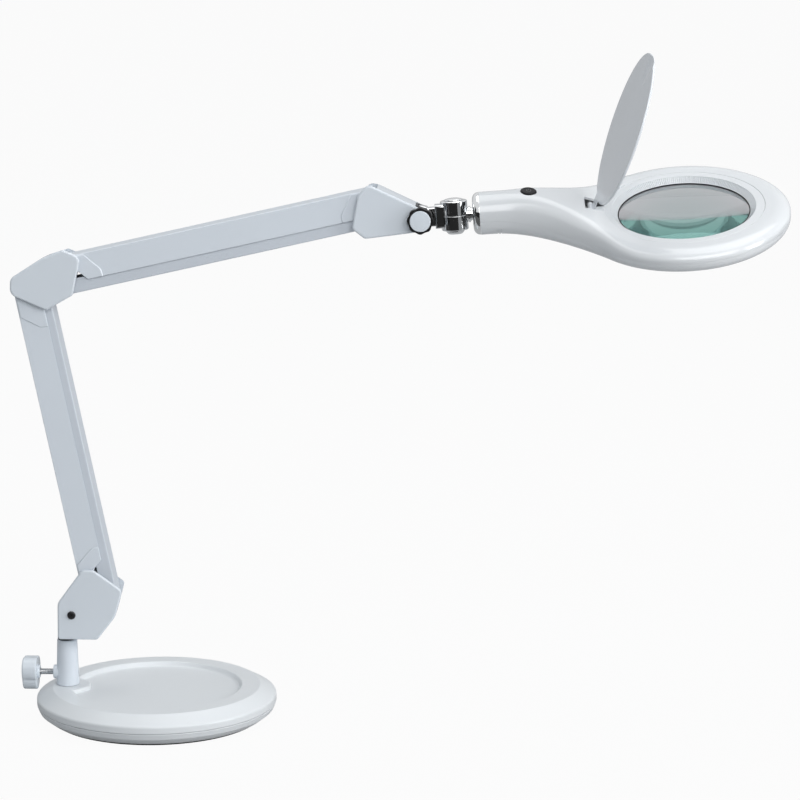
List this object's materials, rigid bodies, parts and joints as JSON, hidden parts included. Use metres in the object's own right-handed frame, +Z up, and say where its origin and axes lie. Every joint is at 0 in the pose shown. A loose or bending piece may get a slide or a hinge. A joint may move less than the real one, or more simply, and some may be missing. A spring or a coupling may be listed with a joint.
{
  "type": "magnifying desk lamp",
  "caption": "Magnifying LED desk lamp: ring head with round lens and flip-up cover, chrome swivel joint, sprung parallel-link arm, and a weighted round base with a clamped swivel post.",
  "frame": {"origin": "centre of the base's underside", "axes": "+Z up, +X from the post towards the head, the arm in the XZ plane"},
  "size_m": [0.7435, 0.235, 0.6524],
  "materials": {
    "white_plastic": "gloss",
    "white_paint": "satin",
    "cast_iron": "rough",
    "steel": "satin",
    "chrome": "polished",
    "black_plastic": "matte",
    "dark_steel": "satin",
    "rubber": "matte",
    "lens_glass": "clear",
    "frosted_plastic": "frosted",
    "circuit_board": "matte"
  },
  "bodies": {
    "base": {"base_cover": "white_plastic", "base_weight": "cast_iron", "base_tray": "white_plastic", "base_pad": "rubber", "base_screw_1": "steel", "base_screw_2": "steel", "post": "white_paint", "post_bolt": "steel"},
    "thumbscrew": {"thumbscrew_knob": "white_plastic", "thumbscrew_stud": "steel"},
    "swivel": {"lower_frame": "steel", "swivel_washer": "black_plastic", "lower_cover_near": "white_plastic", "lower_cover_far": "white_plastic", "lower_cover_screw": "dark_steel", "lower_pin_outer": "steel", "lower_pin_inner": "steel"},
    "lower_arm": {"lower_channel": "white_paint", "lower_spring": "steel"},
    "lower_link": {"lower_link": "white_paint"},
    "elbow": {"elbow_frame": "steel", "elbow_pin_1": "steel", "elbow_pin_2": "steel", "elbow_pin_3": "steel", "elbow_pin_4": "steel", "elbow_cover_near": "white_plastic", "elbow_cover_far": "white_plastic", "elbow_cover_screw": "dark_steel"},
    "upper_arm": {"upper_channel": "white_paint", "upper_spring": "steel"},
    "upper_link": {"upper_link": "white_paint"},
    "front": {"front_frame": "steel", "front_pin_outer": "steel", "front_pin_inner": "steel", "front_cover_near": "white_plastic", "front_cover_far": "white_plastic", "front_cover_screw": "dark_steel"},
    "tilt_knob": {"tilt_knob": "black_plastic", "tilt_knob_cap": "white_plastic", "tilt_bolt": "steel"},
    "tilt_link": {"tilt_link": "chrome", "knuckle_bolt": "chrome", "knuckle_nut": "chrome"},
    "neck": {"neck": "chrome", "spigot_nut": "steel"},
    "head": {"head_top_shell": "white_plastic", "head_bottom_shell": "white_plastic", "end_cap": "chrome", "lens": "lens_glass", "lens_holder": "white_plastic", "lens_bezel": "white_plastic", "led_board": "circuit_board", "diffuser": "frosted_plastic", "driver_board": "circuit_board", "head_screw": "steel", "hinge_pin": "steel"},
    "lens_cover": {"lens_cover": "white_plastic", "cover_hinge_strap": "white_plastic"},
    "power_button": {"power_button": "black_plastic"}
  },
  "joints": [
    {"name": "thumbscrew_turn", "type": "hinge", "parent": "base", "child": "thumbscrew", "pos_m": [-0.0878, 0, 0.0428], "axis": [1, 0, 0], "range_deg": [-360, 0]},
    {"name": "swivel_turn", "type": "hinge", "parent": "base", "child": "swivel", "pos_m": [-0.0878, 0, 0.0807], "axis": [0, 0, 1], "continuous": true},
    {"name": "lower_arm_lean", "type": "hinge", "parent": "swivel", "child": "lower_arm", "pos_m": [-0.0621, 0, 0.1302], "axis": [0, 1, 0], "range_deg": [-12, 60]},
    {"name": "lower_link_turn", "type": "hinge", "parent": "swivel", "child": "lower_link", "pos_m": [-0.04379, 0, 0.12216], "axis": [0, 1, 0], "range_deg": [-12, 60]},
    {"name": "elbow_level", "type": "hinge", "parent": "lower_arm", "child": "elbow", "pos_m": [-0.12211, 0, 0.42516], "axis": [0, 1, 0], "range_deg": [-60, 12]},
    {"name": "upper_arm_lift", "type": "hinge", "parent": "elbow", "child": "upper_arm", "pos_m": [-0.08801, 0, 0.44616], "axis": [0, 1, 0], "range_deg": [-40, 50]},
    {"name": "upper_link_turn", "type": "hinge", "parent": "elbow", "child": "upper_link", "pos_m": [-0.08644, 0, 0.42622], "axis": [0, 1, 0], "range_deg": [-40, 50]},
    {"name": "front_level", "type": "hinge", "parent": "upper_arm", "child": "front", "pos_m": [0.21191, 0, 0.51402], "axis": [0, 1, 0], "range_deg": [-50, 40]},
    {"name": "tilt_knob_turn", "type": "hinge", "parent": "front", "child": "tilt_knob", "pos_m": [0.25941, 0, 0.49442], "axis": [0, 1, 0], "range_deg": [-360, 0]},
    {"name": "head_tilt", "type": "hinge", "parent": "front", "child": "tilt_link", "pos_m": [0.25941, 0, 0.49442], "axis": [0, 1, 0], "range_deg": [-40, 75]},
    {"name": "head_yaw", "type": "hinge", "parent": "tilt_link", "child": "neck", "pos_m": [0.29112, 0, 0.49675], "axis": [-0.0732, 0, 0.9973], "range_deg": [-60, 60]},
    {"name": "head_roll", "type": "hinge", "parent": "neck", "child": "head", "pos_m": [0.31546, 0, 0.49854], "axis": [0.9973, 0, 0.0732], "range_deg": [-108.4, 71.6]},
    {"name": "cover_flip", "type": "hinge", "parent": "head", "child": "lens_cover", "pos_m": [0.42043, 0.00117, 0.50273], "axis": [0.0231, -0.9489, -0.3148], "range_deg": [-67, 25]},
    {"name": "button_press", "type": "slide", "parent": "head", "child": "power_button", "axis": [-0.0634, 0.3129, -0.9477], "range_m": [0, 0.0012], "stiffness_N_per_m": 900, "springref_m": -0.0004}
  ],
  "couplings": [
    {"joint": "lower_link_turn", "follows": "lower_arm_lean", "ratio": 1},
    {"joint": "elbow_level", "follows": "lower_arm_lean", "ratio": -1},
    {"joint": "upper_link_turn", "follows": "upper_arm_lift", "ratio": 1},
    {"joint": "front_level", "follows": "upper_arm_lift", "ratio": -1}
  ]
}
